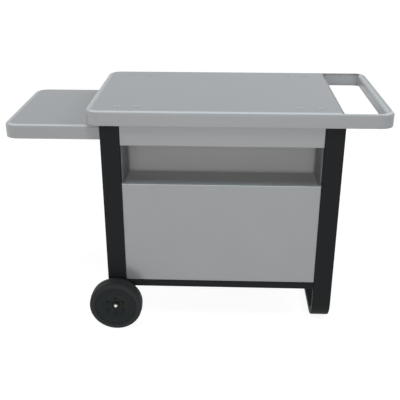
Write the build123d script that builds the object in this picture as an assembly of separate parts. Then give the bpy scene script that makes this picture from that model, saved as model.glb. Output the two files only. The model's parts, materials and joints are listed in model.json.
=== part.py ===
from build123d import *
import math
import os

# A wheeled stand for a table-top grill. Millimetres, +Z up, +X to the right as seen from the front,
# +Y to the back. The modelling frame has x = 0 midway between the legs, y = 0 at mid depth and
# z = 0 on the floor. Every piece is moved at the end so that the origin is the middle of the footprint.

# Frame of black rectangular tube
frame_width = 758.0        # across the outer faces of the left and right legs
frame_depth = 516.0        # across the outer faces of the front and rear legs
leg_width = 61.5           # face of a leg, seen from the front
leg_thickness = 25.0       # leg from front to back
tube_wall = 1.2
tube_corner = 4.5          # outer corner radius of every tube
leg_top_gap = 18.0         # worktop surface down to the cut ends of the legs
sled_bend = 72.0           # outer radius of the bends at the foot of the right frame
left_leg_foot = 58.0       # floor to the cut ends of the left legs
rail_size = 25.0           # square bottom rails
rail_bottom = 130.3        # floor to the underside of the bottom rails
rail_recess = 2.0          # rails sit this far behind the leg faces
plug_flange = 4.0          # plastic plugs in the leg ends
plug_depth = 18.0
plug_gap = 0.15
plug_bevel = 1.3           # edge of a plug's flange

# Grey sheet work
sheet = 1.0
panel_recess = 4.0         # panels sit this far behind the leg faces
panel_flange = 15.0        # folded edges of the panels
panel_bend = 2.5           # outer radius of a folded edge
apron_drop = 114.4         # worktop surface to the apron's lower edge, above the storage slot
slot_height = 129.4        # open height of the storage slot
side_panel_gap = 16.0      # worktop surface to the top of the right side panel
tray_depth = 168.0         # leg face to the back of the storage slot
tray_drop = 15.0           # floor of the slot below the front panel's top edge
tray_bend = 12.0           # outer radius of the tray's bends
tray_front_lip = 12.0
tray_roof_gap = 1.0        # tray walls below the runners
shelf_overlap = 7.0        # bottom shelf lies this far over the rails

# Worktop and its handle
worktop_height = 750.0
worktop_left = 44.0        # overhang past the left legs
worktop_handle = 147.0     # reach of the handle past the right legs
worktop_front = 9.0        # overhang at the front and at the back
rim_height = 46.5
rim_corner = 45.0          # plan radius of the corners
rim_bend = 12.0            # outer radius of the bend from sheet to rim
rim_hem = 6.0              # turned-in edge at the foot of the rim
opening_inset = 7.0        # sheet ends this far inside the right legs' outer faces
sheet_lip = 13.0           # down-turned edge of the sheet at the handle opening
lip_bend = 9.0             # outer radius of that bend
grip_flange = 16.0         # turned-in top of the end bar
grip_corner = 34.0         # plan radius of the handle opening
band_edge = 6.0            # turned-in top of the bands that carry the end bar
liner = 2.5                # wall of the liner
liner_reach = 14.0         # liner's inner face inside the edge of the flange
liner_height = 35.0
liner_bend = 12.0          # outer radius of the liner's top
liner_seam = 0.3           # between the flange's edge and the liner
liner_tongue = 3.5         # liner's hold under the flange
liner_end = 16.0           # liner's ends from the bands' edges
liner_edge = 1.0           # rounding of the liner's foot
pip_radius = 10.0          # raised locating pips for the appliance's feet
pip_height = 2.5
pip_centre = -12.5         # middle of the pip pattern
pip_wide = 314.5           # outer pair from that middle
pip_narrow = 252.5         # inner pair from that middle
pip_edge = 56.0            # pips from the front and back edges of the worktop
stiffener_width = 60.0     # hat section, foot to foot
stiffener_crown = 30.0
stiffener_height = 20.0
stiffener_spread = 145.0   # stiffeners to each side of the frame's middle

# Sliding side shelf
shelf_drop = 59.5          # worktop surface to shelf surface
shelf_rim = 46.0
shelf_side_gap = 9.5       # shelf's rim to the backs of the runners
shelf_reach = 314.5        # beyond the left legs, drawn out
shelf_inside = 139.0       # within the frame, drawn out
shelf_inner_corner = 16.0
shelf_travel = 258.0
runner_wall = 1.5
runner_foot = 24.0         # lower flange of a runner
runner_head = 17.0         # upper flange of a runner
runner_floor = 1.5         # room under the shelf
runner_roof = 3.0          # room over the shelf
runner_inset = 2.0         # runner's left end behind the legs' outer faces
slide_gap = 0.3            # running clearance of the shelf
mouth_glide = 30.0         # length of the fixed glides
mouth_inset = 1.0
shelf_glide = 40.0         # length of the glides on the shelf
shelf_glide_inset = 5.0
stop_peg_radius = 4.0
stop_peg_reach = 3.5
brace_width = 20.0         # angle that stiffens the shelf's inner end
brace_height = 30.0
brace_setback = 16.0

# Wheels and axle, measured outwards from the leg face
wheel_radius = 88.5
tyre_inner = 70.0
tyre_back = 20.0
tyre_front = 66.0
tyre_shoulder = 6.0
tread_groove = 3.0
tread_spread = 9.0         # grooves to each side of the tread's middle
tyre_gap = 0.2
rim_thickness = 7.0        # barrel under the tyre
rim_step = 1.0             # barrel narrower than the tyre on each side
web_thickness = 4.0
web_recess = 2.0           # flat web behind the tyre's front face
dish_outer = 44.0          # radius where the dish starts
dish_inner = 18.0
hub_radius = 14.0
hub_front = 52.0
hub_back = 2.3
rib_count = 6
rib_thickness = 3.0
pocket_radius = 5.5
pocket_circle = 30.0
pocket_depth = 2.5
bush_wall = 3.0
bush_gap = 0.1
axle_radius = 4.0
axle_fit = 0.05            # running clearance in the bush
axle_hole_gap = 0.3        # in the legs
axle_tube_size = 25.0
washer_radius = 9.0
washer_thickness = 2.0
washer_gap = 0.3
nut_flats = 13.0
nut_height = 5.0
nut_dome = 6.2

# Fasteners
screw_radius = 2.5
screw_head = 5.0
screw_head_height = 2.8
screw_head_bevel = 1.4
screw_length = 9.0
screw_gap = 0.3
stud_nut_flats = 10.0
stud_nut_height = 5.0
stud_end = 2.5             # stud past its nut
stud_margin = 60.0         # end studs from the legs
stud_count = 3
panel_screw_margin = 45.0  # end screws from a panel's edges
panel_screw_count = 3
apron_screw_margin = 20.0  # lower screws above the apron's edge
apron_screw_drop = 48.0    # upper screws under the sheet, clear of the plugs
apron_screw_count = 2
runner_bolt_inset = 14.0
runner_bolt_count = 2

# Places that several pieces share
leg_x = frame_width / 2
leg_y = frame_depth / 2
leg_inner_x = leg_x - leg_width
leg_inner_y = leg_y - leg_thickness
leg_centre_x = leg_x - leg_width / 2
leg_centre_y = leg_y - leg_thickness / 2
leg_top = worktop_height - leg_top_gap
rail_top = rail_bottom + rail_size
under_worktop = worktop_height - sheet
slot_top = worktop_height - apron_drop
panel_top = slot_top - slot_height
worktop_x0 = -leg_x - worktop_left
worktop_x1 = leg_x + worktop_handle
worktop_y = leg_y + worktop_front
rim_foot = worktop_height - rim_height
opening_x = leg_x - opening_inset
opening_y = worktop_y - band_edge
grip_x = worktop_x1 - grip_flange
panel_x = leg_x - panel_recess
panel_y = leg_y - panel_recess
shelf_top = worktop_height - shelf_drop
shelf_foot = shelf_top - shelf_rim
shelf_x0 = -leg_x - shelf_reach
shelf_x1 = -leg_x + shelf_inside
runner_z0 = shelf_foot - runner_floor - runner_wall
runner_z1 = shelf_top + runner_roof + runner_wall
runner_y = leg_inner_y - runner_wall
shelf_y = runner_y - shelf_side_gap
runner_x0 = -leg_x + runner_inset
runner_x1 = panel_x - panel_flange - slide_gap
axle_x = -leg_centre_x
axle_z = wheel_radius
tray_floor = panel_top - tray_drop
outer_washer_z = hub_front + washer_gap
nut_z = outer_washer_z + washer_thickness
axle_end = nut_z + nut_height / 2
origin_x = (shelf_x0 + worktop_x1) / 2


def block(x0, x1, y0, y1, z0, z1):
    """Box between two corners."""
    return Pos((x0 + x1) / 2, (y0 + y1) / 2, (z0 + z1) / 2) * Box(x1 - x0, y1 - y0, z1 - z0)


def rod(radius, length):
    """Cylinder that stands on z = 0."""
    return Pos(0, 0, length / 2) * Cylinder(radius, length)


def save(name, *shapes):
    """Write one node, a single solid or a group of them, in the part's own frame."""
    move = Pos(-origin_x, 0, 0)
    solids = [move * solid for shape in shapes for solid in shape.solids()]
    export_step(solids[0] if len(solids) == 1 else Compound(children=solids), f"parts/{name}.step")


def mirror_x(shape):
    return mirror(shape, about=Plane.YZ)


def mirror_y(shape):
    return mirror(shape, about=Plane.XZ)


def tube_face(width, depth, inset=0.0):
    """Outline of a rectangular tube, or of its bore when inset by the wall."""
    return RectangleRounded(width - 2 * inset, depth - 2 * inset, tube_corner - inset)


def tube(width, depth, length):
    """Straight hollow tube that stands on z = 0."""
    return extrude(tube_face(width, depth) - tube_face(width, depth, tube_wall), length)


def outline(x0, x1, half_depth, left_corner, right_corner):
    """Rectangle with one radius on its left corners and another on its right ones."""
    face = Pos((x0 + x1) / 2, 0) * Rectangle(x1 - x0, 2 * half_depth)
    face = fillet(face.vertices().group_by(Axis.X)[0], left_corner)
    return fillet(face.vertices().group_by(Axis.X)[-1], right_corner)


def pan(x0, x1, half_depth, left_corner, right_corner, top, height):
    """Pressed sheet with a turned-down rim, rounded where it bends, and a hem at its foot."""
    def plan(inset):
        return outline(x0 + inset, x1 - inset, half_depth - inset,
                       max(left_corner - inset, sheet), max(right_corner - inset, sheet))

    foot = top - height
    skin = Pos(0, 0, foot) * extrude(plan(0), height)
    skin = fillet(skin.edges().group_by(Axis.Z)[-1], rim_bend)
    hollow = Pos(0, 0, foot) * extrude(plan(sheet), height - sheet)
    hollow = fillet(hollow.edges().group_by(Axis.Z)[-1], rim_bend - sheet)
    hem = Pos(0, 0, foot) * extrude(plan(0) - plan(rim_hem), sheet)
    return skin - hollow + hem


def folded_panel(width, height):
    """Sheet with all four edges folded back. Front face on y = 0, foot on z = 0."""
    skin = block(-width / 2, width / 2, 0, panel_flange, 0, height)
    skin = fillet(skin.faces().sort_by(Axis.Y)[0].edges(), panel_bend)
    return skin - block(-width / 2 + sheet, width / 2 - sheet, sheet, panel_flange, sheet, height - sheet)


# Fastener places: each is a location whose +Z points out of the screw's head
def facing(x, y, z, direction):
    turn = {"+x": (0, 90, 0), "-x": (0, -90, 0), "+y": (-90, 0, 0), "-y": (90, 0, 0), "-z": (180, 0, 0)}
    return Location((x, y, z), turn[direction])


def spread(low, high, count):
    """Evenly spaced heights from low to high."""
    return [low + (high - low) * step / (count - 1) for step in range(count)]


def screw():
    head = rod(screw_head, screw_head_height)
    head = chamfer(head.edges().group_by(Axis.Z)[-1], screw_head_bevel)
    return head + Pos(0, 0, -screw_length) * rod(screw_radius, screw_length)


def drill(shape, places):
    """Clearance holes for the screws at these places."""
    hole = Pos(0, 0, -screw_length) * rod(screw_radius + screw_gap, screw_length)
    for place in places:
        shape = shape - place * hole
    return shape


flange_face = leg_inner_x - sheet
flange_mid = panel_y - panel_flange / 2
side_flange_mid = panel_x - panel_flange / 2
panel_rows = spread(rail_top + panel_screw_margin, panel_top - panel_screw_margin, panel_screw_count)
apron_rows = spread(slot_top + apron_screw_margin, under_worktop - apron_screw_drop, apron_screw_count)
side_rows = spread(rail_top + panel_screw_margin, slot_top - panel_screw_margin, panel_screw_count)
runner_rows = spread(runner_z0 + runner_bolt_inset, runner_z1 - runner_bolt_inset, runner_bolt_count)
stud_row = spread(-leg_inner_x + stud_margin, leg_inner_x - stud_margin, stud_count)
corners = [(side, end) for side in (-1, 1) for end in (-1, 1)]

front_panel_screws = [facing(side * flange_face, -flange_mid, z, "-x" if side > 0 else "+x")
                      for side in (-1, 1) for z in panel_rows]
apron_screws = [facing(side * flange_face, end * flange_mid, z, "-x" if side > 0 else "+x")
                for side, end in corners for z in apron_rows]
side_flange_face = leg_inner_y - sheet
side_panel_screws = [facing(side * side_flange_mid, end * side_flange_face, z, "-y" if end > 0 else "+y")
                     for side, end in corners for z in side_rows]
runner_bolt_x = leg_inner_x + runner_bolt_inset
runner_bolts = [facing(side * runner_bolt_x, end * runner_y, z, "-y" if end > 0 else "+y")
                for side, end in corners for z in runner_rows]
worktop_studs = [(x, end * flange_mid) for end in (-1, 1) for x in stud_row]
leg_holes = front_panel_screws + apron_screws + side_panel_screws + runner_bolts


def round_nose(shape, radius):
    """Round the upper right edge of a bar that runs along Y."""
    nose = shape.edges().filter_by(Axis.Y).sort_by(Axis.X)[-2:].sort_by(Axis.Z)[-1]
    return fillet(nose, radius)


# Worktop: pan, handle opening, down-turned sheet edge, locating pips
def make_worktop():
    top = pan(worktop_x0, worktop_x1, worktop_y, rim_corner, rim_corner, worktop_height, rim_height)
    opening = outline(opening_x - lip_bend, grip_x, opening_y, sheet, grip_corner)
    top = top - Pos(0, 0, worktop_height - rim_bend - sheet) * extrude(opening, 2 * rim_bend)
    lip_y = worktop_y - rim_bend
    lip_foot = worktop_height - sheet_lip
    lip = block(opening_x - 2 * lip_bend, opening_x, -lip_y, lip_y, lip_foot, worktop_height)
    room = block(opening_x - 3 * lip_bend, opening_x - sheet, -lip_y, lip_y, lip_foot, under_worktop)
    top = top + (round_nose(lip, lip_bend) - round_nose(room, lip_bend - sheet))
    ball = (pip_radius ** 2 + pip_height ** 2) / (2 * pip_height)
    pip = Pos(0, 0, pip_height - ball) * Sphere(ball)
    pip = pip & block(-pip_radius, pip_radius, -pip_radius, pip_radius, -sheet / 2, pip_height)
    for x in (-pip_wide, -pip_narrow, pip_narrow, pip_wide):
        for end in (-1, 1):
            top = top + Pos(pip_centre + x, end * (worktop_y - pip_edge), worktop_height) * pip
    return top


# Liner of the end bar: rounded over the top, hooked under the edge of the flange, open below
def make_handle_liner():
    face = grip_x - liner_reach
    foot = worktop_height - liner_height
    back = grip_x - liner_seam
    ceiling = under_worktop - liner
    section = make_face(Polyline((face, foot), (face, worktop_height), (back, worktop_height),
                                 (back, ceiling), (face + liner, ceiling), (face + liner, foot), close=True))

    def rounded(x, z, radius):
        return fillet(section.vertices().sort_by_distance((x, z, 0))[0], radius)

    section = rounded(face, worktop_height, liner_bend)
    section = rounded(face + liner, ceiling, liner_bend - liner - sheet)
    section = rounded(face, foot, liner_edge)
    section = rounded(face + liner, foot, liner_edge)
    strip = extrude(Plane.XZ * section, opening_y - liner_end, both=True)
    room = outline(opening_x, back, opening_y - liner_seam, sheet, grip_corner - liner_seam)
    strip = strip & Pos(0, 0, foot) * extrude(room, liner_height)
    half = opening_y - grip_corner
    return strip + block(back - liner, grip_x + liner_tongue, -half, half, ceiling, under_worktop)


# Hat-section stiffeners under the sheet
def make_stiffener(middle):
    half = stiffener_width / 2
    crown = stiffener_crown / 2
    low = -stiffener_height
    right = [(crown, low), (crown + sheet, -sheet), (half, -sheet), (half, 0), (crown, 0),
             (crown - sheet, low + sheet)]
    left = [(-x, z) for x, z in reversed(right)]
    hat = make_face(Polyline(*right, *left, close=True))
    reach = leg_inner_y - runner_head
    return Pos(middle, 0, under_worktop) * extrude(Plane.XZ * hat, reach, both=True)


# Aprons close the front and back above the slot and carry the worktop
def make_apron():
    apron = Pos(0, -panel_y, slot_top) * folded_panel(2 * leg_inner_x, under_worktop - slot_top)
    stud_hole = rod(screw_radius + screw_gap, panel_flange)
    for x, y in worktop_studs:
        apron = apron - Pos(x, y, under_worktop - panel_flange / 2) * stud_hole
    return apron


def stud_nut(x, y):
    """Welded stud under the worktop with its nut below the apron's flange."""
    stud = rod(screw_radius, sheet + stud_nut_height + stud_end)
    nut = extrude(RegularPolygon(stud_nut_flats / 2, 6, major_radius=False), stud_nut_height)
    body = Pos(0, 0, sheet) * nut + stud
    return Location((x, y, under_worktop), (180, 0, 0)) * body


def make_front_panel():
    return Pos(0, -panel_y, rail_top) * folded_panel(2 * leg_inner_x, panel_top - rail_top)


# Storage tray: floor, back and side walls with wide bends, and a low front lip behind the panel
def make_tray():
    front = -panel_y + panel_flange + slide_gap
    back = -leg_y + tray_depth + sheet
    foot = tray_floor - sheet
    top = runner_z0 - tray_roof_gap

    def tub(inset, bend):
        half = leg_inner_x - inset
        form = block(-half, half, front + inset, back - inset, foot + inset, top + inset)
        form = fillet(form.edges().filter_by(Axis.Z).group_by(Axis.Y)[-1], bend)
        return fillet(form.edges().group_by(Axis.Z)[0].sort_by(Axis.Y)[1:], bend)

    tray = tub(0, tray_bend) - tub(sheet, tray_bend - sheet)
    return tray - block(-leg_inner_x, leg_inner_x, front, front + sheet, foot + tray_front_lip, top)


# Side panels stand on the side rails, flush between the legs
def make_side_panel(top):
    panel = Rot(0, 0, -90) * folded_panel(2 * leg_inner_y, top - rail_top)
    return Pos(-panel_x, 0, rail_top) * panel


def make_bottom_shelf():
    side = leg_x - rail_recess - rail_size + shelf_overlap
    front = leg_y - rail_recess - rail_size + shelf_overlap
    across = Rectangle(2 * side, 2 * (leg_inner_y - slide_gap))
    along = Rectangle(2 * (leg_inner_x - slide_gap), 2 * front)
    return Pos(0, 0, rail_top) * extrude(across + along, sheet)


def make_front_rail():
    rail = Pos(-leg_inner_x, 0, 0) * (Rot(0, 90, 0) * tube(rail_size, rail_size, 2 * leg_inner_x))
    return Pos(0, -leg_y + rail_recess + rail_size / 2, rail_bottom + rail_size / 2) * rail


def make_side_rail():
    rail = Pos(0, leg_inner_y, 0) * (Rot(90, 0, 0) * tube(rail_size, rail_size, 2 * leg_inner_y))
    return Pos(-leg_x + rail_recess + rail_size / 2, 0, rail_bottom + rail_size / 2) * rail


# Left legs are straight and carry the axle
def make_left_leg(end):
    leg = tube(leg_width, leg_thickness, leg_top - left_leg_foot)
    leg = Pos(-leg_centre_x, end * leg_centre_y, left_leg_foot) * leg
    bore = Rot(90, 0, 0) * Cylinder(axle_radius + axle_hole_gap, frame_depth + leg_thickness)
    return drill(leg - Pos(axle_x, 0, axle_z) * bore, leg_holes)


# Right frame: one tube bent into a sled, its run flat on the floor
def make_right_frame():
    low = leg_thickness / 2
    path = FilletPolyline((leg_centre_x, -leg_centre_y, leg_top), (leg_centre_x, -leg_centre_y, low),
                          (leg_centre_x, leg_centre_y, low), (leg_centre_x, leg_centre_y, leg_top),
                          radius=sled_bend - low)
    start = Plane(origin=path @ 0, x_dir=(1, 0, 0), z_dir=path % 0)
    skin = sweep(start * tube_face(leg_width, leg_thickness), path)
    bore = sweep(start * tube_face(leg_width, leg_thickness, tube_wall), path)
    return drill(skin - bore, leg_holes)


def make_plug():
    """Plug for the upper end of a leg, flange on top of z = 0."""
    flange = extrude(tube_face(leg_width, leg_thickness), plug_flange)
    flange = chamfer(flange.edges().group_by(Axis.Z)[-1], plug_bevel)
    stem = extrude(tube_face(leg_width, leg_thickness, tube_wall + plug_gap), -plug_depth)
    hollow = extrude(tube_face(leg_width, leg_thickness, 2 * tube_wall + plug_gap), -plug_depth)
    return flange + (stem - hollow)


# Runners: channels along the frame that hold the shelf and tie the left legs to the right ones
def make_runner():
    length = runner_x1 - runner_x0
    height = runner_z1 - runner_z0
    mid_z = (runner_z0 + runner_z1) / 2
    back = Pos(leg_inner_y - runner_foot / 2, mid_z) * Rectangle(runner_foot, height)
    room = Pos(runner_y - runner_foot / 2, mid_z) * Rectangle(runner_foot, height - 2 * runner_wall)
    short = runner_foot - runner_head
    trim = Pos(leg_inner_y - runner_foot + short / 2, runner_z1) * Rectangle(short, 4 * runner_wall)
    channel = Pos(runner_x0, 0, 0) * extrude(Plane.YZ * (back - room - trim), length)
    return drill(channel, runner_bolts)


# Fixed glides in the mouths of the runners, with a foot under the shelf's hem
def make_mouth_glide():
    x0 = runner_x0 + mouth_inset
    inner = shelf_y + slide_gap
    foot_z = runner_z0 + runner_wall
    side = block(x0, x0 + mouth_glide, inner, runner_y, foot_z, runner_z1 - runner_wall)
    foot = block(x0, x0 + mouth_glide, leg_inner_y - runner_foot, inner, foot_z, shelf_foot - slide_gap)
    return side + foot


# Glides that ride on the shelf's inner end, and the pegs in the runners that stop them
def glide_span():
    x1 = shelf_x1 - shelf_glide_inset
    return x1 - shelf_glide, x1


def make_shelf_glide():
    x0, x1 = glide_span()
    pad = block(x0, x1, shelf_y, runner_y - slide_gap,
                runner_z0 + runner_wall + slide_gap, runner_z1 - runner_wall - slide_gap)
    return fillet(pad.edges().filter_by(Axis.Y), runner_roof)


def make_stop_pegs(end):
    x0, x1 = glide_span()
    mid_z = (shelf_foot + shelf_top) / 2
    clear = stop_peg_radius + slide_gap
    turn = 90 if end > 0 else -90
    return [Pos(x, end * runner_y, mid_z) * (Rot(turn, 0, 0) * rod(stop_peg_radius, stop_peg_reach))
            for x in (x0 - clear, x1 + shelf_travel + clear)]


# Side shelf: a pan like the worktop, square at its inner end
def make_side_shelf():
    return pan(shelf_x0, shelf_x1, shelf_y, rim_corner, shelf_inner_corner, shelf_top, shelf_rim)


def make_shelf_brace():
    """Angle across the shelf, under its sheet."""
    x1 = shelf_x1 - brace_setback
    top = shelf_top - sheet
    half = shelf_y - rim_bend - slide_gap
    angle = block(x1 - brace_width, x1, -half, half, top - brace_height, top)
    return angle - block(x1 - brace_width, x1 - sheet, -half, half, top - brace_height, top - sheet)


# Wheels: z runs outwards from the leg face
def outward(shape, end):
    """Set a piece modelled outwards from the leg face on the front (-1) or rear (1) leg."""
    return Pos(axle_x, end * leg_y, axle_z) * (Rot(-90 * end, 0, 0) * shape)


def ring(points):
    """Solid of revolution about z from (radius, z) points."""
    return revolve(Plane.XZ * make_face(Polyline(*points, close=True)), Axis.Z)


def make_wheel():
    bore = axle_radius + axle_fit + bush_wall + bush_gap
    rim_outer = tyre_inner - tyre_gap
    rim_inner = rim_outer - rim_thickness
    rim_back = tyre_back + rim_step
    rim_front = tyre_front - rim_step
    face = tyre_front - web_recess
    back = face - web_thickness
    hub_web = hub_front - web_thickness
    lip = rim_inner + web_thickness
    front_side = [(rim_outer, rim_front), (lip, rim_front), (lip, face), (dish_outer, face),
                  (dish_inner, hub_front), (bore, hub_front)]
    back_side = [(bore, hub_back), (hub_radius, hub_back), (hub_radius, hub_web), (dish_inner, hub_web),
                 (dish_outer, back), (rim_inner, back), (rim_inner, rim_back), (rim_outer, rim_back)]
    wheel = ring(front_side + back_side)

    # Ribs behind the web reach a little into the hub, the web and the barrel
    rib_in, rib_out, rib_back = hub_radius - sheet, rim_inner + sheet, rim_back + rim_step
    rib = make_face(Polyline((rib_in, rib_back), (rib_out, rib_back), (rib_out, back + sheet),
                             (dish_outer, back + sheet), (dish_inner, hub_web + sheet),
                             (rib_in, hub_web + sheet), close=True))
    rib = extrude(Plane.XZ * rib, rib_thickness / 2, both=True)

    # Blind pockets are square to the dish
    slope = (face - hub_front) / (dish_outer - dish_inner)
    dish_z = hub_front + slope * (pocket_circle - dish_inner)
    pocket = Pos(0, 0, -pocket_depth) * rod(pocket_radius, 4 * pocket_depth)
    pocket = Pos(pocket_circle, 0, dish_z) * (Rot(0, -math.degrees(math.atan(slope)), 0) * pocket)
    for step in range(rib_count):
        turn = 360 / rib_count * step
        wheel = wheel + Rot(0, 0, turn) * rib
        wheel = wheel - Rot(0, 0, turn + 180 / rib_count) * pocket
    return wheel


def make_tyre():
    tread = (tyre_back + tyre_front) / 2
    groove_foot = wheel_radius - tread_groove
    points = [(tyre_inner, tyre_back), (wheel_radius, tyre_back)]
    for middle in (tread - tread_spread, tread + tread_spread):
        points += [(wheel_radius, middle - tread_groove), (groove_foot, middle - tread_groove / 2),
                   (groove_foot, middle + tread_groove / 2), (wheel_radius, middle + tread_groove)]
    points += [(wheel_radius, tyre_front), (tyre_inner, tyre_front)]
    profile = make_face(Polyline(*points, close=True))
    ends = profile.vertices().group_by(Axis.Y)
    shoulders = [row.sort_by(Axis.X)[-1] for row in (ends[0], ends[-1])]
    return revolve(Plane.XZ * fillet(shoulders, tyre_shoulder), Axis.Z)


def make_bush():
    inner = axle_radius + axle_fit
    outer = inner + bush_wall
    return ring([(inner, hub_back), (outer, hub_back), (outer, hub_front), (inner, hub_front)])


def washer():
    bore = axle_radius + axle_fit
    return ring([(bore, 0), (washer_radius, 0),
                 (washer_radius, washer_thickness), (bore, washer_thickness)])


def make_cap_nut():
    hexagon = extrude(RegularPolygon(nut_flats / 2, 6, major_radius=False), nut_height)
    dome = Pos(0, 0, nut_height) * Sphere(nut_dome)
    dome = dome & block(-nut_dome, nut_dome, -nut_dome, nut_dome, nut_height, nut_height + nut_dome)
    socket = rod(axle_radius + axle_fit, axle_end - nut_z)
    return Pos(0, 0, nut_z) * (hexagon + dome - socket)


def make_axle_tube():
    body = Rot(90, 0, 0) * tube(axle_tube_size, axle_tube_size, 2 * leg_inner_y)
    return Pos(axle_x, leg_inner_y, axle_z) * body


def make_axle():
    half = leg_y + axle_end
    return Pos(axle_x, 0, axle_z) * (Rot(90, 0, 0) * Cylinder(axle_radius, 2 * half))


os.makedirs("parts", exist_ok=True)

save("worktop", make_worktop())
save("handle_liner", make_handle_liner())
save("worktop_stiffeners", *[make_stiffener(side * stiffener_spread) for side in (-1, 1)])

apron = drill(make_apron(), apron_screws)
save("front_apron", apron)
save("rear_apron", mirror_y(apron))
save("worktop_nuts", *[stud_nut(x, y) for x, y in worktop_studs])
save("front_panel", drill(make_front_panel(), front_panel_screws))
save("storage_tray", make_tray())
save("left_side_panel", drill(make_side_panel(slot_top), side_panel_screws))
right_side_panel = mirror_x(make_side_panel(worktop_height - side_panel_gap))
save("right_side_panel", drill(right_side_panel, side_panel_screws))
save("bottom_shelf", make_bottom_shelf())

save("front_bottom_rail", make_front_rail())
save("rear_bottom_rail", mirror_y(make_front_rail()))
save("left_bottom_rail", make_side_rail())
save("right_bottom_rail", mirror_x(make_side_rail()))
save("left_front_leg", make_left_leg(-1))
save("left_rear_leg", make_left_leg(1))
save("right_leg_frame", make_right_frame())
plug = make_plug()
save("leg_top_plugs", *[Pos(side * leg_centre_x, end * leg_centre_y, leg_top) * plug
                        for side, end in corners])
save("leg_foot_plugs", *[Pos(-leg_centre_x, end * leg_centre_y, left_leg_foot) * (Rot(180, 0, 0) * plug)
                         for end in (-1, 1)])

for name, end in (("front", -1), ("rear", 1)):
    save(f"{name}_runner", make_runner() if end > 0 else mirror_y(make_runner()))
    save(f"{name}_wheel", outward(make_wheel(), end))
    save(f"{name}_tyre", outward(make_tyre(), end))
    save(f"{name}_wheel_bush", outward(make_bush(), end))
    save(f"{name}_cap_nut", outward(make_cap_nut(), end))
glide = make_mouth_glide()
save("runner_glides", glide, mirror_y(glide))
save("stop_pegs", *make_stop_pegs(-1), *make_stop_pegs(1))
save("axle", make_axle())
save("axle_tube", make_axle_tube())
save("axle_washers", *[outward(Pos(0, 0, z) * washer(), end)
                       for end in (-1, 1) for z in (0, outer_washer_z)])

save("side_shelf", make_side_shelf())
save("shelf_brace", make_shelf_brace())
pad = make_shelf_glide()
save("shelf_glides", pad, mirror_y(pad))

save("front_panel_screws", *[place * screw() for place in front_panel_screws])
save("apron_screws", *[place * screw() for place in apron_screws])
save("side_panel_screws", *[place * screw() for place in side_panel_screws])
save("runner_bolts", *[place * screw() for place in runner_bolts])
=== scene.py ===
import json
import math

import bmesh
import bpy
from mathutils import Matrix, Vector


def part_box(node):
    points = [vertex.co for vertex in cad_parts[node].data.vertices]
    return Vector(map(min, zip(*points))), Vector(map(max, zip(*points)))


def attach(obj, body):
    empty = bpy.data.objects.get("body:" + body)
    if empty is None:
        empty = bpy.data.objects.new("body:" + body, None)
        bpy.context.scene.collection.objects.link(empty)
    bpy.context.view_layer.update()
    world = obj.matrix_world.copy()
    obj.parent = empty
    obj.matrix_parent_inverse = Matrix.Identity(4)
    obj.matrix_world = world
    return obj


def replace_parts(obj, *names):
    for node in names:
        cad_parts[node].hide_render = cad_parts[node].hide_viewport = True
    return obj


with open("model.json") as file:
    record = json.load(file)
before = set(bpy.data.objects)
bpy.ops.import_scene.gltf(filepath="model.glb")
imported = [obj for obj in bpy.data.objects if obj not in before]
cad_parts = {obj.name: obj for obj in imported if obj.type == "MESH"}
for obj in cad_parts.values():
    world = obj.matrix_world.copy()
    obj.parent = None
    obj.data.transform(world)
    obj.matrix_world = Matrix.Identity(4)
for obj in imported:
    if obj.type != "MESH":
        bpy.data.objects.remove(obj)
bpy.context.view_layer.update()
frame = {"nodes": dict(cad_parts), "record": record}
nodes = frame["nodes"]
scene = bpy.context.scene
slotOf = {row["node"]: row["material_slot"] for row in frame["record"]["subparts"]}
print("frame loaded:", len(nodes), "nodes")


class Sock:
    # a socket whose sums add their own Math nodes
    def __init__(self, graph, socket):
        self.graph = graph
        self.socket = socket

    def calc(self, operation, first, second):
        return self.graph.add("ShaderNodeMath", {"operation": operation}, {0: first, 1: second})

    def __add__(self, other):
        return self.calc("ADD", self, other)

    def __sub__(self, other):
        return self.calc("SUBTRACT", self, other)

    def __rsub__(self, other):
        return self.calc("SUBTRACT", other, self)

    def __mul__(self, other):
        return self.calc("MULTIPLY", self, other)

    def __rtruediv__(self, other):
        return self.calc("DIVIDE", other, self)

    __radd__ = __add__
    __rmul__ = __mul__


class Graph:
    # nodes are added by type: settings first, then values or links of sockets
    def __init__(self, tree):
        self.tree = tree

    def add(self, kind, settings=None, sockets=None, out=0):
        node = self.tree.nodes.new(kind)
        for key, value in (settings or {}).items():
            if key == "stops":
                self.setStops(node.color_ramp, value)
            else:
                setattr(node, key, value)
        self.fill(node, sockets or {})
        return Sock(self, node.outputs[out])

    def setStops(self, ramp, stops):
        while len(ramp.elements) < len(stops):
            ramp.elements.new(1.0)
        for element, (place, level) in zip(ramp.elements, stops):
            element.position = place
            element.color = (level, level, level, 1.0)

    def fill(self, node, sockets):
        for key, value in sockets.items():
            for one in value if isinstance(value, list) else [value]:
                if isinstance(one, Sock):
                    self.tree.links.new(one.socket, node.inputs[key])
                else:
                    node.inputs[key].default_value = one


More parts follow.
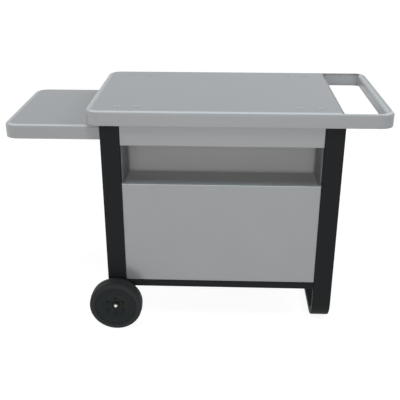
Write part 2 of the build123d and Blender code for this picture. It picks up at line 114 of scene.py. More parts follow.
class Finish(Graph):
    def __init__(self, name):
        self.material = bpy.data.materials.new(name)
        self.material.use_nodes = True
        super().__init__(self.material.node_tree)
        self.shader = self.tree.nodes["Principled BSDF"]

    def surface(self, **sockets):
        self.fill(self.shader, {key.replace("_", " "): value for key, value in sockets.items()})

    def place(self):
        return self.add("ShaderNodeTexCoord", out="Object")

    def noise(self, where, scale, detail=2.0, roughness=0.5):
        return self.add("ShaderNodeTexNoise", sockets={"Vector": where, "Scale": scale, "Detail": detail,
                                                       "Roughness": roughness})

    def ramp(self, value, *stops):
        return self.add("ShaderNodeValToRGB", {"stops": stops}, {"Fac": value})

    def slope(self, value, low, high):
        # 0 up to low, 1 from high on
        return self.add("ShaderNodeMapRange", sockets={"Value": value, "From Min": low, "From Max": high})

    def part(self, vector, axis):
        return self.add("ShaderNodeSeparateXYZ", sockets={0: vector}, out=axis)

    def reach(self, where, axis):
        # distance from a line along Y
        level = self.add("ShaderNodeVectorMath", {"operation": "MULTIPLY"}, {0: where, 1: (1, 0, 1)})
        return self.add("ShaderNodeVectorMath", {"operation": "DISTANCE"}, {0: level, 1: axis}, out="Value")

    def blend(self, factor, first, second):
        return self.add("ShaderNodeMix", {"data_type": "RGBA"}, {0: factor, 6: first, 7: second}, out=2)

    def bump(self, height, distance, strength=1.0, normal=None):
        sockets = {"Height": height, "Distance": distance, "Strength": strength}
        if normal:
            sockets["Normal"] = normal
        return self.add("ShaderNodeBump", sockets=sockets)

    def softEdge(self, radius, samples=6):
        return self.add("ShaderNodeBevel", {"samples": samples}, {"Radius": radius})

    def edgeTurn(self, radius):
        # 0 on flat stretches, rising towards an outer or inner edge
        flat = self.add("ShaderNodeNewGeometry", out="Normal")
        dot = self.add("ShaderNodeVectorMath", {"operation": "DOT_PRODUCT"},
                       {0: self.softEdge(radius), 1: flat}, out="Value")
        return 1.0 - dot


def shade(red, green, blue):
    return (red, green, blue, 1.0)


# Marks on the coat, among them painted highlights and painted shade: places in metres, turns as parts of the
# normal, levels from 0 to 1
coatMarks = {
    "fleckStops": ((0.62, 0.0), (0.74, 1.0)),
    # lip: painted shade along the bend at the left edge of the handle opening
    "lipStart": (0.4445, 0.4475), "lipEnd": (0.474, 0.470), "lipUp": (0.2, 0.5), "lipAhead": (0.16, 0.04),
    "lipShadeLevel": 0.8,
    # bend: painted highlight on the upper part of the sheet's outer bends, weaker on the left border
    "borderWidth": 0.010, "flatUp": (0.975, 0.995),
    "bendUp": (0.52, 0.76), "bendLevel": 0.45, "bendInward": 0.45, "bendBroken": 0.2,
    # band: the inner face of the handle's rear band is painted lighter, standing in for light
    "bandAhead": (-0.5, -0.9), "bandBack": (0.22, 0.23), "bandAlong": (0.44, 0.47), "bandLevel": 0.17,
    "bandBroken": 0.16,
    # painted shadow of the wheel: a soft dark patch on the front panel above it
    "wheelShadowEdge": (0.100, 0.076), "wheelShadowLevel": 0.65, "wheelShadowBroken": 0.2,
    # painted shade on the tray's side walls
    "shadedSideTurn": (0.2, 0.7),
    "wearTurn": 1.6, "wearBroken": 0.55, "wearStops": ((0.50, 0.0), (0.78, 1.0)),
}


def markBends(coat, look, where, broken, tone):
    # painted highlights on the bends, painted shade on the lip at the handle opening and the rear band beside it
    # painted lighter
    mark = coatMarks
    turn = coat.add("ShaderNodeNewGeometry", out="Normal")
    up, ahead = coat.part(turn, "Z"), coat.part(turn, "Y")
    along, back = coat.part(where, "X"), coat.part(where, "Y")
    # painted shade on the lip where the sheet turns down at the handle opening
    lipShade = coat.slope(along, *mark["lipStart"]) * coat.slope(along, *mark["lipEnd"])
    lipShade = lipShade * coat.slope(up, *mark["lipUp"]) * coat.slope(ahead * ahead, *mark["lipAhead"])
    inward = coat.slope(along, look["border"], look["border"] + mark["borderWidth"])
    flat = coat.slope(up, *mark["flatUp"]) * inward
    # painted highlight: the upper part of each bend is made lighter
    bend = coat.slope(up, *mark["bendUp"]) * (1.0 - flat) * (1.0 - lipShade)
    bend = bend * (mark["bendLevel"] + inward * mark["bendInward"] + broken * mark["bendBroken"])
    tone = coat.blend(bend * look["highlightAmount"], tone, look["paintedLight"])
    tone = coat.blend(lipShade * mark["lipShadeLevel"], tone, look["paintedShade"])
    # painted light: the rear band's inner face is made lighter
    bandLight = coat.slope(ahead, *mark["bandAhead"]) * coat.slope(back, *mark["bandBack"])
    bandLight = bandLight * coat.slope(along, *mark["bandAlong"])
    return coat.blend(bandLight * (mark["bandLevel"] + broken * mark["bandBroken"]), tone, look["paintedLight"])


# Satin powder coat: orange peel, slow drift of tone, fine flecks, thin wear on the edges, and where asked painted
# highlights and painted shade
def powderCoat(name, look):
    mark = coatMarks
    coat = Finish(name)
    where = coat.place()
    drift = coat.noise(where, look["driftScale"], detail=3.0)
    peel = coat.noise(where, look["peelScale"], detail=2.0, roughness=0.6)
    fleck = coat.ramp(coat.noise(where, look["fleckScale"], detail=1.0), *mark["fleckStops"])
    tone = coat.blend(drift, look["dark"], look["light"])
    tone = coat.blend(fleck * look["fleckAmount"], tone, look["fleck"])
    broken = coat.noise(where, look["wearScale"], detail=5.0, roughness=0.62)
    if look["highlightAmount"]:
        tone = markBends(coat, look, where, broken, tone)
    # painted shadow: a soft dark disc on the panel where the wheel would shade it
    if "wheelShadow" in look:
        near = coat.slope(coat.reach(where, look["wheelShadow"]), *mark["wheelShadowEdge"])
        tone = coat.blend(near * (mark["wheelShadowLevel"] + broken * mark["wheelShadowBroken"]), tone, look["paintedShade"])
    # painted shade: walls facing sideways are made darker
    if "shadedSides" in look:
        across = coat.part(coat.add("ShaderNodeNewGeometry", out="Normal"), "X")
        tone = coat.blend(coat.slope(across * across, *mark["shadedSideTurn"]), tone, look["shadedSides"])
    worn = coat.ramp(coat.edgeTurn(look["wearRadius"]) * mark["wearTurn"] + broken * mark["wearBroken"],
                     *mark["wearStops"])
    tone = coat.blend(worn * look["wearAmount"], tone, look["bare"])
    rough = look["roughness"] + (drift - 0.5) * look["roughnessDrift"] + worn * look["wearRoughness"]
    bumped = coat.bump(peel, look["peelDepth"], look["peelStrength"], coat.softEdge(look["edgeRadius"]))
    coat.surface(Base_Color=tone, Roughness=rough, Normal=bumped, Specular_IOR_Level=look["specular"])
    return coat.material


greyCoatLook = {
    "dark": shade(0.318, 0.322, 0.330), "light": shade(0.342, 0.346, 0.354), "driftScale": 7.0,
    "fleck": shade(0.44, 0.44, 0.45), "fleckScale": 900.0, "fleckAmount": 0.22,
    "peelScale": 420.0, "peelDepth": 0.00012, "peelStrength": 0.28,
    "roughness": 0.30, "roughnessDrift": 0.08, "specular": 0.45, "edgeRadius": 0.0012,
    # these entries set how strong and how light the painted highlight on the bends is, and the tone of the painted
    # shade
    "highlightAmount": 0.85, "paintedLight": shade(0.70, 0.71, 0.72), "paintedShade": shade(0.19, 0.192, 0.195), "border": -1.0,
    "bare": shade(0.42, 0.42, 0.42), "wearScale": 55.0, "wearRadius": 0.0025, "wearAmount": 0.20,
    "wearRoughness": 0.10,
}
blackCoatLook = {
    "dark": shade(0.0148, 0.0155, 0.0164), "light": shade(0.0170, 0.0178, 0.0188), "driftScale": 9.0,
    "fleck": shade(0.028, 0.029, 0.032), "fleckScale": 1000.0, "fleckAmount": 0.30,
    "peelScale": 520.0, "peelDepth": 0.00010, "peelStrength": 0.35,
    "roughness": 0.56, "roughnessDrift": 0.12, "specular": 0.07, "edgeRadius": 0.0012, "highlightAmount": 0.0,
    "bare": shade(0.045, 0.046, 0.048), "wearScale": 70.0, "wearRadius": 0.0025, "wearAmount": 0.30,
    "wearRoughness": 0.12,
}
# the tray's coat is the grey coat painted lighter, standing in for light that doesn't reach into the tray
trayCoatLook = {
    "dark": shade(0.395, 0.398, 0.404), "light": shade(0.415, 0.418, 0.424), "highlightAmount": 0.0,
    "roughness": 0.50, "specular": 0.25, "shadedSides": shade(0.25, 0.253, 0.258),
}
# the liner is the grey coat painted lighter, standing in for the light from the left on its inner face
linerCoatLook = {"dark": shade(0.485, 0.486, 0.488), "light": shade(0.515, 0.516, 0.518), "highlightAmount": 0.35}


# Moulded plastic and rubber: fine spark-eroded grain, scuffs on the edges, painted shade in the wheel's hub recess
scuffMark = {"turn": 1.4, "broken": 0.5, "stops": ((0.46, 0.0), (0.80, 1.0))}


def mouldedFinish(name, look):
    skin = Finish(name)
    where = skin.place()
    grain = skin.noise(where, look["grainScale"], detail=3.0, roughness=0.65)
    drift = skin.noise(where, look["driftScale"], detail=3.0)
    tone = skin.blend(drift, look["dark"], look["light"])
    broken = skin.noise(where, look["scuffScale"], detail=5.0, roughness=0.6)
    scuff = skin.ramp(skin.edgeTurn(look["scuffRadius"]) * scuffMark["turn"] + broken * scuffMark["broken"],
                      *scuffMark["stops"])
    tone = skin.blend(scuff * look["scuffAmount"], tone, look["scuff"])
    # painted shade: a dark ring in the hub recess
    if "hub" in look:
        tone = skin.blend(skin.slope(skin.reach(where, look["hub"]), *look["hubEdge"]), tone, look["grease"])
    rough = look["roughness"] + (grain - 0.5) * look["roughnessDrift"]
    bumped = skin.bump(grain, look["grainDepth"], look["grainStrength"], skin.softEdge(look["edgeRadius"]))
    skin.surface(Base_Color=tone, Roughness=rough, Normal=bumped, Specular_IOR_Level=look["specular"])
    return skin.material


wheelLook = {
    "dark": shade(0.0078, 0.0102, 0.0108), "light": shade(0.0104, 0.0132, 0.0138), "driftScale": 20.0,
    "grainScale": 650.0, "grainDepth": 0.00012, "grainStrength": 0.5,
    "roughness": 0.52, "roughnessDrift": 0.18, "specular": 0.18, "edgeRadius": 0.001,
    "scuff": shade(0.040, 0.043, 0.044), "scuffScale": 120.0, "scuffRadius": 0.002, "scuffAmount": 0.35,
    # hub: middle and edge of the painted shade in the hub recess
    "hub": (-0.2645, 0.0, 0.0885), "hubEdge": (0.0145, 0.0125), "grease": shade(0.0016, 0.0016, 0.0010),
}
tyreLook = {
    "dark": shade(0.0150, 0.0172, 0.0172), "light": shade(0.0200, 0.0222, 0.0222), "driftScale": 28.0,
    "grainScale": 480.0, "grainDepth": 0.0002, "grainStrength": 0.6,
    "roughness": 0.66, "roughnessDrift": 0.2, "specular": 0.25, "edgeRadius": 0.0008,
    "scuff": shade(0.050, 0.050, 0.048), "scuffScale": 90.0, "scuffRadius": 0.002, "scuffAmount": 0.40,
}
plugLook = {
    "dark": shade(0.007, 0.007, 0.008), "light": shade(0.011, 0.011, 0.012), "driftScale": 30.0,
    "grainScale": 700.0, "grainDepth": 0.0001, "grainStrength": 0.5,
    "roughness": 0.55, "roughnessDrift": 0.15, "specular": 0.3, "edgeRadius": 0.001,
    "scuff": shade(0.040, 0.040, 0.041), "scuffScale": 120.0, "scuffRadius": 0.002, "scuffAmount": 0.3,
}
nylonLook = {
    "dark": shade(0.56, 0.55, 0.50), "light": shade(0.64, 0.63, 0.58), "driftScale": 25.0,
    "grainScale": 600.0, "grainDepth": 0.00008, "grainStrength": 0.4,
    "roughness": 0.45, "roughnessDrift": 0.12, "specular": 0.5, "edgeRadius": 0.0008,
    "scuff": shade(0.34, 0.33, 0.30), "scuffScale": 60.0, "scuffRadius": 0.002, "scuffAmount": 0.4,
}


# Plated steel: brushed streaks for zinc, crystal spangle for galvanised sheet
streakStrength = 0.4


def platedFinish(name, look):
    plate = Finish(name)
    where = plate.place()
    cells = plate.add("ShaderNodeTexVoronoi", sockets={"Vector": where, "Scale": look["spangleScale"]}, out="Color")
    spangle = plate.add("ShaderNodeRGBToBW", sockets={"Color": cells})
    stretched = plate.add("ShaderNodeMapping", sockets={"Vector": where, "Scale": look["streak"]})
    streak = plate.noise(stretched, 1.0, detail=3.0)
    tone = plate.blend(spangle, look["dark"], look["light"])
    rough = look["roughness"] + (streak - 0.5) * look["roughnessDrift"]
    bumped = plate.bump(streak, look["streakDepth"], streakStrength, plate.softEdge(look["edgeRadius"]))
    plate.surface(Base_Color=tone, Roughness=rough, Normal=bumped, Metallic=1.0)
    return plate.material


zincLook = {
    "dark": shade(0.52, 0.53, 0.55), "light": shade(0.62, 0.63, 0.64), "spangleScale": 260.0,
    "streak": (900, 900, 120), "streakDepth": 0.00003, "roughness": 0.32, "roughnessDrift": 0.2,
    "edgeRadius": 0.0004,
}
galvanisedLook = {
    "dark": shade(0.42, 0.43, 0.45), "light": shade(0.60, 0.61, 0.62), "spangleScale": 110.0,
    "streak": (60, 900, 900), "streakDepth": 0.00003, "roughness": 0.36, "roughnessDrift": 0.2,
    "edgeRadius": 0.0006,
}
brightLook = {
    "dark": shade(0.84, 0.83, 0.80), "light": shade(0.92, 0.91, 0.89), "spangleScale": 300.0,
    "streak": (300, 300, 300), "streakDepth": 0.00001, "roughness": 0.20, "roughnessDrift": 0.08,
    "edgeRadius": 0.0004,
}
darkPlateLook = {
    "dark": shade(0.026, 0.023, 0.012), "light": shade(0.046, 0.041, 0.020), "spangleScale": 300.0,
    "streak": (500, 500, 500), "streakDepth": 0.00002, "roughness": 0.42, "roughnessDrift": 0.15,
    "edgeRadius": 0.0004,
}

# border is where the flat of a sheet starts; the panel's point is the middle of the wheel's painted shadow
greyCoat = powderCoat("grey_powder_coat", greyCoatLook)
pipCoat = powderCoat("pip_powder_coat", {**greyCoatLook, "highlightAmount": 0.28})
worktopCoat = powderCoat("worktop_powder_coat", {**greyCoatLook, "border": -0.3275})
shelfCoat = powderCoat("shelf_powder_coat", {**greyCoatLook, "border": -0.5980})
# the panel's top bend gets the full painted highlight, and a painted shadow of the wheel sits above the wheel
panelCoat = powderCoat("panel_powder_coat", {**greyCoatLook, "highlightAmount": 1.0, "wheelShadow": (-0.2567, 0.0, 0.1176)})
trayCoat = powderCoat("tray_powder_coat", {**greyCoatLook, **trayCoatLook})
linerCoat = powderCoat("liner_powder_coat", {**greyCoatLook, **linerCoatLook})
blackCoat = powderCoat("black_powder_coat", blackCoatLook)
wheelPlastic = mouldedFinish("wheel_plastic", wheelLook)
tyreRubber = mouldedFinish("tyre_rubber", tyreLook)
plugPlastic = mouldedFinish("plug_plastic", plugLook)
nylon = mouldedFinish("nylon", nylonLook)
zinc = platedFinish("zinc_plate", zincLook)
galvanised = platedFinish("galvanised_sheet", galvanisedLook)
bright = platedFinish("bright_plate", brightLook)
darkPlate = platedFinish("dark_passivated", darkPlateLook)
print("finishes made:", len(bpy.data.materials))

nodeFinish = {
    "black_powder_coat": blackCoat, "grey_powder_coat": greyCoat, "black_plastic": plugPlastic, "tyre": tyreRubber,
    "nylon": nylon, "zinc_steel": zinc, "galvanised_steel": galvanised, "bright_steel": bright,
}
ownFinish = {"front_wheel": wheelPlastic, "rear_wheel": wheelPlastic, "storage_tray": trayCoat,
             "handle_liner": linerCoat, "axle_washers": darkPlate, "worktop": worktopCoat, "side_shelf": shelfCoat,
             "front_panel": panelCoat}
for name, node in nodes.items():
    finish = ownFinish.get(name) or nodeFinish[slotOf[name]]
    node.data.materials.clear()
    node.data.materials.append(finish)
print("finishes set on the frame's nodes")


class Recipe(Graph):
    # a Geometry Nodes tree with named inputs
    def __init__(self, name, **inputs):
        group = bpy.data.node_groups.new(name, "GeometryNodeTree")
        super().__init__(group)
        group.interface.new_socket("Geometry", in_out="INPUT", socket_type="NodeSocketGeometry")
        for label, kind in inputs.items():
            group.interface.new_socket(label, in_out="INPUT", socket_type="NodeSocket" + kind)
        group.interface.new_socket("Geometry", in_out="OUTPUT", socket_type="NodeSocketGeometry")
        self.start = group.nodes.new("NodeGroupInput")
        self.end = group.nodes.new("NodeGroupOutput")

    def given(self, label):
        return Sock(self, self.start.outputs[label])

    def shape(self, label):
        return self.add("GeometryNodeObjectInfo", sockets={"Object": self.given(label)}, out="Geometry")

    def attribute(self, label, kind):
        return self.add("GeometryNodeInputNamedAttribute", {"data_type": kind}, {"Name": label})

    def serve(self, geometry):
        whole = self.add("GeometryNodeRealizeInstances", sockets={"Geometry": geometry})
        painted = self.add("GeometryNodeSetMaterial", sockets={"Geometry": whole, "Material": self.given("Finish")})
        self.tree.links.new(painted.socket, self.end.inputs[0])

    def cook(self, name, mesh, **values):
        # the tree's result as a plain mesh
        holder = bpy.data.objects.new(name, mesh)
        scene.collection.objects.link(holder)
        step = holder.modifiers.new(name, "NODES")
        step.node_group = self.tree
        for item in self.tree.interface.items_tree:
            if item.in_out == "INPUT" and item.name in values:
                step[item.identifier] = values[item.name]
        result = bpy.data.meshes.new_from_object(holder.evaluated_get(bpy.context.evaluated_depsgraph_get()))
        holder.modifiers.remove(step)
        bpy.data.objects.remove(holder)
        return result


def addPiece(name, mesh, body, finish=None):
    mesh.name = name
    if finish:
        mesh.materials.append(finish)
    piece = bpy.data.objects.new(name, mesh)
    scene.collection.objects.link(piece)
    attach(piece, body)
    return piece


# metres: closer points are one point, one solid or one end
samePoint, sameSolid, sameEnd = 1e-7, 1e-5, 1e-4


def lathe(profile, steps):
    # shell turned about Z through (radius, height) points
    shell = bmesh.new()
    turns = [2 * math.pi * step / steps for step in range(steps)]
    rings = []
    for radius, height in profile:
        if radius < samePoint:
            rings.append([shell.verts.new((0, 0, height))] * steps)
        else:
            rings.append([shell.verts.new((radius * math.cos(turn), radius * math.sin(turn), height))
                          for turn in turns])
    for low, high in zip(rings, rings[1:]):
        for step in range(steps):
            corners = [low[step], low[step - 1], high[step - 1], high[step]]
            shell.faces.new(list(dict.fromkeys(corners)))
    return shell


def asMesh(shell, name, smooth=True):
    bmesh.ops.remove_doubles(shell, verts=shell.verts, dist=samePoint)
    bmesh.ops.recalc_face_normals(shell, faces=shell.faces)
    for face in shell.faces:
        face.smooth = smooth
    mesh = bpy.data.meshes.new(name)
    shell.to_mesh(mesh)
    shell.free()
    return mesh


def pattern(mesh):
    # a shape for a tree to copy, not shown itself
    return bpy.data.objects.new(mesh.name, mesh)


def pointMesh(name, points, facing=None):
    mesh = bpy.data.meshes.new(name)
    mesh.from_pydata(points, [], [])
    if facing:
        ways = mesh.attributes.new("facing", "FLOAT_VECTOR", "POINT")
        ways.data.foreach_set("vector", [value for way in facing for value in way])
    return mesh


def looseParts(node):
    # the points of each separate solid in a CAD node
    shell = bmesh.new()
    shell.from_mesh(nodes[node].data)
    bmesh.ops.remove_doubles(shell, verts=shell.verts, dist=sameSolid)
    seen, parts = set(), []
    for first in shell.verts:
        if first in seen:
            continue
        seen.add(first)
        queue, part = [first], []
        while queue:
            vert = queue.pop()
            part.append(vert.co.copy())
            fresh = {edge.other_vert(vert) for edge in vert.link_edges} - seen
            seen |= fresh
            queue.extend(fresh)
        parts.append(part)
    shell.free()
    return parts


# Cross-recess screws in place of the plain CAD heads
screwLook = {
    "headRadius": 0.0050, "headHeight": 0.0028, "crown": 0.0009, "crownSteps": 4, "rim": 0.0006, "rimCut": 0.3,
    "recess": 0.0052, "slot": 0.0011, "recessDepth": 0.0016, "shank": 0.0025, "shankLength": 0.0088, "steps": 28,
}


def screwSeats(node):
    # where each head sits, and the way that it faces
    seats, facing = [], []
    for part in looseParts(node):
        low = Vector([min(point[axis] for point in part) for axis in range(3)])
        high = Vector([max(point[axis] for point in part) for axis in range(3)])
        seat = (low + high) / 2
        axis = max(range(3), key=lambda side: high[side] - low[side])
        reach = {}
        for end in (low[axis], high[axis]):
            there = [point - seat for point in part if abs(point[axis] - end) < sameEnd]
            reach[end] = max(sum(away[side] ** 2 for side in range(3) if side != axis) for away in there)
        end = max(reach, key=reach.get)
        way = Vector((0, 0, 0))
        way[axis] = 1.0 if end == high[axis] else -1.0
        seat[axis] = end - way[axis] * screwLook["headHeight"]
        seats.append(seat)
        facing.append(way)
    return seats, facing


def screwHead():
    look = screwLook
    radius, rim = look["headRadius"], look["rim"]
    side, cut = look["headHeight"] - look["crown"], rim * look["rimCut"]
    profile = [(0, -look["shankLength"]), (look["shank"], -look["shankLength"]), (look["shank"], 0),
               (radius - rim / 2, 0), (radius, rim / 2), (radius, side - rim), (radius - cut, side - cut),
               (radius - rim, side)]
    for step in range(1, look["crownSteps"] + 1):
        part = 1 - step / look["crownSteps"]
        profile.append(((radius - rim) * part, side + look["crown"] * (1 - part ** 2)))
    return asMesh(lathe(profile, look["steps"]), "screw_head", smooth=False)


screws = Recipe("cross_screws", Head="Object", Recess="Float", Slot="Float", Depth="Float", Height="Float",
                Finish="Material")
arms = []
for width, depth in (("Recess", "Slot"), ("Slot", "Recess")):
    span = screws.add("ShaderNodeCombineXYZ", sockets={0: screws.given(width), 1: screws.given(depth),
                                                       2: screws.given("Depth") * 2.0})
    lift = screws.add("ShaderNodeCombineXYZ", sockets={2: screws.given("Height")})
    arm = screws.add("GeometryNodeMeshCube", sockets={"Size": span})
    arms.append(screws.add("GeometryNodeTransform", sockets={"Geometry": arm, "Translation": lift}))
cut = screws.add("GeometryNodeMeshBoolean", {"operation": "DIFFERENCE"},
                 {"Mesh 1": screws.shape("Head"), "Mesh 2": arms})
turned = screws.add("FunctionNodeAlignRotationToVector", {"axis": "Z"},
                    {"Vector": screws.attribute("facing", "FLOAT_VECTOR")})
screws.serve(screws.add("GeometryNodeInstanceOnPoints", sockets={
    "Points": screws.given("Geometry"), "Instance": cut, "Rotation": turned}))

headPattern = pattern(screwHead())
for node in ("front_panel_screws", "apron_screws", "side_panel_screws", "runner_bolts"):
    seats, facing = screwSeats(node)
    mesh = screws.cook(node + "_cross", pointMesh(node, seats, facing), Head=headPattern,
                       Recess=screwLook["recess"], Slot=screwLook["slot"], Depth=screwLook["recessDepth"],
                       Height=screwLook["headHeight"], Finish=nodeFinish[slotOf[node]])
    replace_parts(addPiece(node + "_cross", mesh, "cart"), node)
    print("screws:", node, len(seats), "with", len(mesh.polygons), "faces")


# Tyres: rounded casing, two rows of slanted tread lugs
tyreShape = {
    "radius": 0.0884, "casing": 0.0875, "inner": 0.0701, "shoulder": 0.0075, "shoulderSteps": 6, "bead": 0.0012,
    "steps": 128, "lugCount": 56, "lugLength": 0.0185, "lugWidth": 0.0066, "lugSlant": 0.0050, "lugGap": 0.0018,
    "lugFoot": 0.0006, "lugBevel": 0.0006, "draft": 0.0005, "rollStart": 0.62, "rollRate": 42.0,
}


def tyreCasing(half):
    look = tyreShape
    outer, inner, bend, bead = look["casing"], look["inner"], look["shoulder"], look["bead"]
    upper = [(inner, half - bead), (inner + bead, half)]
    for step in range(look["shoulderSteps"] + 1):
        turn = math.pi / 2 * step / look["shoulderSteps"]
        upper.append((outer - bend + bend * math.sin(turn), half - bend + bend * math.cos(turn)))
    profile = upper + [(radius, -height) for radius, height in reversed(upper)]
    return asMesh(lathe(profile + profile[:1], look["steps"]), "tyre_casing")


def treadLug(side):
    # slanted block with drafted flanks, foot sunk in the casing
    look = tyreShape
    block = bmesh.new()
    rise = look["radius"] - look["casing"]
    rows = []
    for height, grow in ((-look["lugFoot"], look["draft"]), (rise, 0.0)):
        row = []
        for along, across in ((0, -1), (1, -1), (1, 1), (0, 1)):
            x = look["lugGap"] + along * look["lugLength"] + (grow if along else -grow)
            y = along * look["lugSlant"] + across * (look["lugWidth"] / 2 + grow)
            row.append(block.verts.new((side * x, y, height)))
        rows.append(row)
    for row in rows:
        block.faces.new(row)
    for step in range(4):
        block.faces.new((rows[0][step - 1], rows[0][step], rows[1][step], rows[1][step - 1]))
    top = [edge for edge in block.edges if all(vert.co.z > 0 for vert in edge.verts)]
    bmesh.ops.bevel(block, geom=top, offset=look["lugBevel"], segments=2, affect="EDGES", profile=0.5)
    for vert in block.verts:  # the outer end rolls over the shoulder
        past = abs(vert.co.x) - (look["lugGap"] + look["lugLength"] * look["rollStart"])
        vert.co.z -= max(past, 0.0) ** 2 * look["rollRate"]
    return asMesh(block, "tread_lug", smooth=False)


tread = Recipe("tread_ring", Left="Object", Right="Object", Count="Int", Radius="Float", Finish="Material")
rows = [tread.given("Geometry")]
for label, share in (("Left", 0.0), ("Right", 0.5)):
    ring = tread.add("GeometryNodeMeshCircle", sockets={"Vertices": tread.given("Count"),
                                                        "Radius": tread.given("Radius")})
    angle = tread.add("ShaderNodeCombineXYZ", sockets={2: share * 2 * math.pi / tread.given("Count")})
    ring = tread.add("GeometryNodeTransform", sockets={"Geometry": ring, "Rotation": angle})
    outward = tread.add("GeometryNodeInputPosition")
    turned = tread.add("FunctionNodeAlignRotationToVector", {"axis": "Z"}, {"Vector": outward})
    turned = tread.add("FunctionNodeAlignRotationToVector", {"axis": "X", "pivot_axis": "Z"},
                       {"Rotation": turned, "Vector": (0.0, 0.0, 1.0)})
    rows.append(tread.add("GeometryNodeInstanceOnPoints", sockets={
        "Points": ring, "Instance": tread.shape(label), "Rotation": turned}))
tread.serve(tread.add("GeometryNodeJoinGeometry", sockets={"Geometry": rows}))

leftLug, rightLug = pattern(treadLug(-1)), pattern(treadLug(1))
for wheel in ("front", "rear"):
    low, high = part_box(wheel + "_tyre")
    mesh = tread.cook(wheel + "_tread", tyreCasing((high.y - low.y) / 2), Left=leftLug, Right=rightLug,
                      Count=tyreShape["lugCount"], Radius=tyreShape["casing"], Finish=tyreRubber)
    mesh.transform(Matrix.Translation((low + high) / 2) @ Matrix.Rotation(math.pi / 2, 4, "X"))
    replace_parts(addPiece(wheel + "_tyre_tread", mesh, wheel + "_wheel"), wheel + "_tyre")
    print("tyre:", wheel, len(mesh.polygons), "faces")


# Axle cap nuts: chamfered hexagon under a smooth dome
capShape = {"flats": 0.0122, "hexHeight": 0.0044, "chamfer": 0.0007, "skirt": 0.0005, "neck": 0.48,
            "neckHeight": 0.9, "dome": 0.0059, "domeSteps": 9, "steps": 40}


def capNut():
    look = capShape
    shell = bmesh.new()
    corner = look["flats"] / math.sqrt(3)
    turns = [math.pi / 3 * step for step in range(6)]
    rows = [[shell.verts.new((corner * math.cos(turn), corner * math.sin(turn), height)) for turn in turns]
            for height in (look["skirt"], look["hexHeight"])]
    for row in rows:
        shell.faces.new(row)
    for step in range(6):
        shell.faces.new((rows[0][step - 1], rows[0][step], rows[1][step], rows[1][step - 1]))
    bmesh.ops.bevel(shell, geom=shell.edges[:], offset=look["chamfer"], segments=2, affect="EDGES", profile=0.6)
    hexagon = asMesh(shell, "cap_hexagon", smooth=False)
    neck = look["flats"] * look["neck"]
    profile = [(0, 0), (neck, 0), (neck, look["hexHeight"] * look["neckHeight"]), (look["dome"], look["hexHeight"])]
    for step in range(1, look["domeSteps"] + 1):
        turn = math.pi / 2 * step / look["domeSteps"]
        profile.append((look["dome"] * math.cos(turn), look["hexHeight"] + look["dome"] * math.sin(turn)))
    dome = bmesh.new()
    dome.from_mesh(asMesh(lathe(profile, look["steps"]), "cap_dome"))
    dome.from_mesh(hexagon)
    mesh = bpy.data.meshes.new("cap_nut")
    dome.to_mesh(mesh)
    dome.free()
    return mesh


for wheel, way in (("front", -1), ("rear", 1)):
    node = wheel + "_cap_nut"
    low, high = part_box(node)
    seat = (low + high) / 2
    seat.y = high.y if way < 0 else low.y
    mesh = capNut()
    mesh.transform(Matrix.Translation(seat) @ Matrix.Rotation(-way * math.pi / 2, 4, "X"))
    body = next(one for one, members in frame["record"]["behaviour"]["bodies"].items() if node in members)
    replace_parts(addPiece(wheel + "_cap_dome", mesh, body, bright), node)
    print("cap nut:", wheel, "rides on", body)


# Drawn pips: the sheet flares up to each dome
pipShape = {"middle": 0.07125, "columns": (-0.3145, -0.2525, 0.2525, 0.3145), "edge": 0.056, "reach": 0.0165,
            "height": 0.0025, "skin": 0.00002, "sunk": 0.0004, "steps": 40, "rings": 10}


def drawnPip():
    look = pipShape
    profile = [(0, -look["sunk"]), (look["reach"], -look["sunk"])]
    for step in range(look["rings"] + 1):
        part = 1 - step / look["rings"]
        swell = 0.5 + 0.5 * math.cos(math.pi * part)
        profile.append((look["reach"] * part, look["skin"] + (look["height"] - look["skin"]) * swell))
    return asMesh(lathe(profile, look["steps"]), "drawn_pip")


pips = Recipe("drawn_pips", Pip="Object", Finish="Material")
pips.serve(pips.add("GeometryNodeInstanceOnPoints", sockets={
    "Points": pips.given("Geometry"), "Instance": pips.shape("Pip")}))
topLow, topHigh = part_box("worktop")
topFace = topHigh.z - pipShape["height"]
pipPlaces = [(pipShape["middle"] + column, side, topFace) for column in pipShape["columns"]
             for side in (topLow.y + pipShape["edge"], topHigh.y - pipShape["edge"])]
pipMesh = pips.cook("worktop_pips", pointMesh("pip_places", pipPlaces), Pip=pattern(drawnPip()), Finish=pipCoat)
addPiece("worktop_pips", pipMesh, "cart")
print("pips:", len(pipPlaces), "on the face at", round(topFace, 5))


# Weld beads where the rails and the axle tube meet the legs
weldLook = {"radius": 0.0019, "step": 0.0021, "flat": 0.62, "inset": 0.0045, "swell": (0.86, 1.12), "seed": 7}

welds = Recipe("weld_beads", Radius="Float", Step="Float", Flat="Float", Seed="Int", Finish="Material")
seam = welds.add("GeometryNodeMeshToCurve", sockets={"Mesh": welds.given("Geometry")})
seam = welds.add("GeometryNodeResampleCurve", {"mode": "LENGTH"}, {"Curve": seam, "Length": welds.given("Step")})
drop = welds.add("GeometryNodeMeshIcoSphere", sockets={"Radius": welds.given("Radius"), "Subdivisions": 2})
drop = welds.add("GeometryNodeSetShadeSmooth", sockets={"Geometry": drop})
turned = welds.add("FunctionNodeAlignRotationToVector", {"axis": "Z"},
                   {"Vector": welds.add("GeometryNodeInputTangent")})
least, most = weldLook["swell"]
swell = welds.add("FunctionNodeRandomValue", {"data_type": "FLOAT"},
                  {2: least, 3: most, "Seed": welds.given("Seed")}, out=1)
size = welds.add("ShaderNodeCombineXYZ", sockets={0: swell, 1: swell, 2: welds.given("Flat")})
welds.serve(welds.add("GeometryNodeInstanceOnPoints", sockets={
    "Points": seam, "Instance": drop, "Rotation": turned, "Scale": size}))


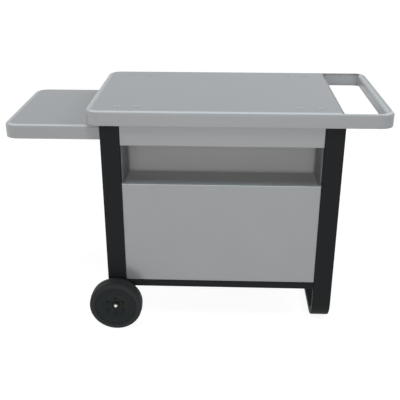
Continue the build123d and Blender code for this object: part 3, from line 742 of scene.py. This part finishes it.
def railEnds(node, axis):
    # the three open edges at both ends of a rail that runs along axis
    low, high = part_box(node)
    other = 1 - axis
    inset = weldLook["inset"]
    lines = []
    for end in (low[axis], high[axis]):
        edges = [((low[other] + inset, low.z), (high[other] - inset, low.z))]
        edges += [((side, low.z + inset), (side, high.z - inset)) for side in (low[other], high[other])]
        for edge in edges:
            line = []
            for across, height in edge:
                point = [0.0, 0.0, height]
                point[axis], point[other] = end, across
                line.append(point)
            lines.append(line)
    return lines


weldLines = []
for node, axis in (("front_bottom_rail", 0), ("rear_bottom_rail", 0), ("left_bottom_rail", 1),
                   ("right_bottom_rail", 1), ("axle_tube", 1)):
    weldLines += railEnds(node, axis)
weldMesh = bpy.data.meshes.new("weld_lines")
weldMesh.from_pydata([point for line in weldLines for point in line],
                     [(2 * step, 2 * step + 1) for step in range(len(weldLines))], [])
beadMesh = welds.cook("frame_welds", weldMesh, Radius=weldLook["radius"], Step=weldLook["step"],
                      Flat=weldLook["flat"], Seed=weldLook["seed"], Finish=blackCoat)
addPiece("frame_welds", beadMesh, "cart")
print("welds:", len(weldLines), "runs with", len(beadMesh.polygons), "faces")


# Studio: pale floor and white surround, light from the front, overhead and both sides
studio = {
    "floorSize": 40.0, "floorFade": (1.5, 6.0), "floorGlow": 0.90, "floorTone": 0.24, "floorRoughness": 0.9,
    "bounceTone": 0.85, "worldLight": 0.15, "lampTarget": (0.0, 0.0, 0.55),
    "lamps": [
        ("front", (0.0, -3.15, 1.2), 2.0, 43.0, (1.0, 0.975, 0.958)),
        ("overhead", (0.0, -1.3, 3.4), 1.0, 30.0, (0.78, 0.92, 1.0)),
        ("right", (2.35, 0.0, 2.55), 1.5, 21.0, (0.84, 0.94, 1.0)),
        ("rightRim", (2.25, 2.25, 1.4), 1.6, 26.0, (0.95, 0.98, 1.0)),
        ("leftRim", (-3.15, 0.3, 1.2), 1.8, 36.0, (1.0, 0.99, 0.985)),
    ],
}


def cameraRays(graph):
    # 1 for what the camera sees, straight or in a mirror
    rays = [graph.add("ShaderNodeLightPath", out=kind)
            for kind in ("Is Camera Ray", "Is Glossy Ray", "Is Transmission Ray")]
    return rays[0] + rays[1] + rays[2]


def makeFloor():
    half = studio["floorSize"] / 2
    mesh = bpy.data.meshes.new("floor")
    mesh.from_pydata([(-half, -half, 0), (half, -half, 0), (half, half, 0), (-half, half, 0)], [], [(0, 1, 2, 3)])
    floor = bpy.data.objects.new("floor", mesh)
    scene.collection.objects.link(floor)
    paint = Finish("floor_paint")
    seen = cameraRays(paint)
    tone = paint.blend(seen, shade(*[studio["bounceTone"]] * 3), shade(*[studio["floorTone"]] * 3))
    away = paint.add("ShaderNodeVectorMath", {"operation": "LENGTH"}, {0: paint.place()}, out="Value")
    level = studio["floorGlow"] + paint.slope(away, *studio["floorFade"]) * (1.0 - studio["floorGlow"])
    glow = paint.blend(seen * level, shade(0, 0, 0), shade(1, 1, 1))
    paint.surface(Base_Color=tone, Emission_Color=glow, Roughness=studio["floorRoughness"], Emission_Strength=1.0,
                  Specular_IOR_Level=0.0)
    mesh.materials.append(paint.material)


def makeWorld():
    world = bpy.data.worlds.new("studio")
    scene.world = world
    world.use_nodes = True
    sky = Graph(world.node_tree)
    seen = cameraRays(sky)
    strength = sky.add("ShaderNodeMix", sockets={0: seen, 2: studio["worldLight"], 3: 1.0})
    sky.fill(world.node_tree.nodes["Background"], {"Color": shade(1, 1, 1), "Strength": strength})


def makeLamps():
    target = Vector(studio["lampTarget"])
    for name, place, size, power, colour in studio["lamps"]:
        lamp = bpy.data.lights.new(name, "AREA")
        lamp.shape = "DISK"
        lamp.size = size
        lamp.energy = power
        lamp.color = colour
        holder = bpy.data.objects.new(name, lamp)
        holder.location = place
        holder.rotation_euler = (target - Vector(place)).to_track_quat("-Z", "Y").to_euler()
        holder.visible_glossy = False  # the satin coats mirror the white surround, not the lamps
        scene.collection.objects.link(holder)


photoView = {"place": (0.08665, -2.2163, 1.3279), "pitch": 65.98, "roll": 0.02, "yaw": 2.16, "lens": 60.16,
             "sensor": 36.0, "shiftX": 0.0036, "shiftY": 0.0013}


def makeCamera():
    lens = bpy.data.cameras.new("photo_view")
    lens.lens = photoView["lens"]
    lens.sensor_width = photoView["sensor"]
    lens.shift_x = photoView["shiftX"]
    lens.shift_y = photoView["shiftY"]
    camera = bpy.data.objects.new("photo_view", lens)
    camera.location = photoView["place"]
    camera.rotation_euler = [math.radians(photoView[turn]) for turn in ("pitch", "roll", "yaw")]
    scene.collection.objects.link(camera)
    scene.camera = camera


makeFloor()
makeWorld()
makeLamps()
makeCamera()
scene.view_settings.view_transform = "Standard"
print("studio set")

bpy.context.view_layer.update()
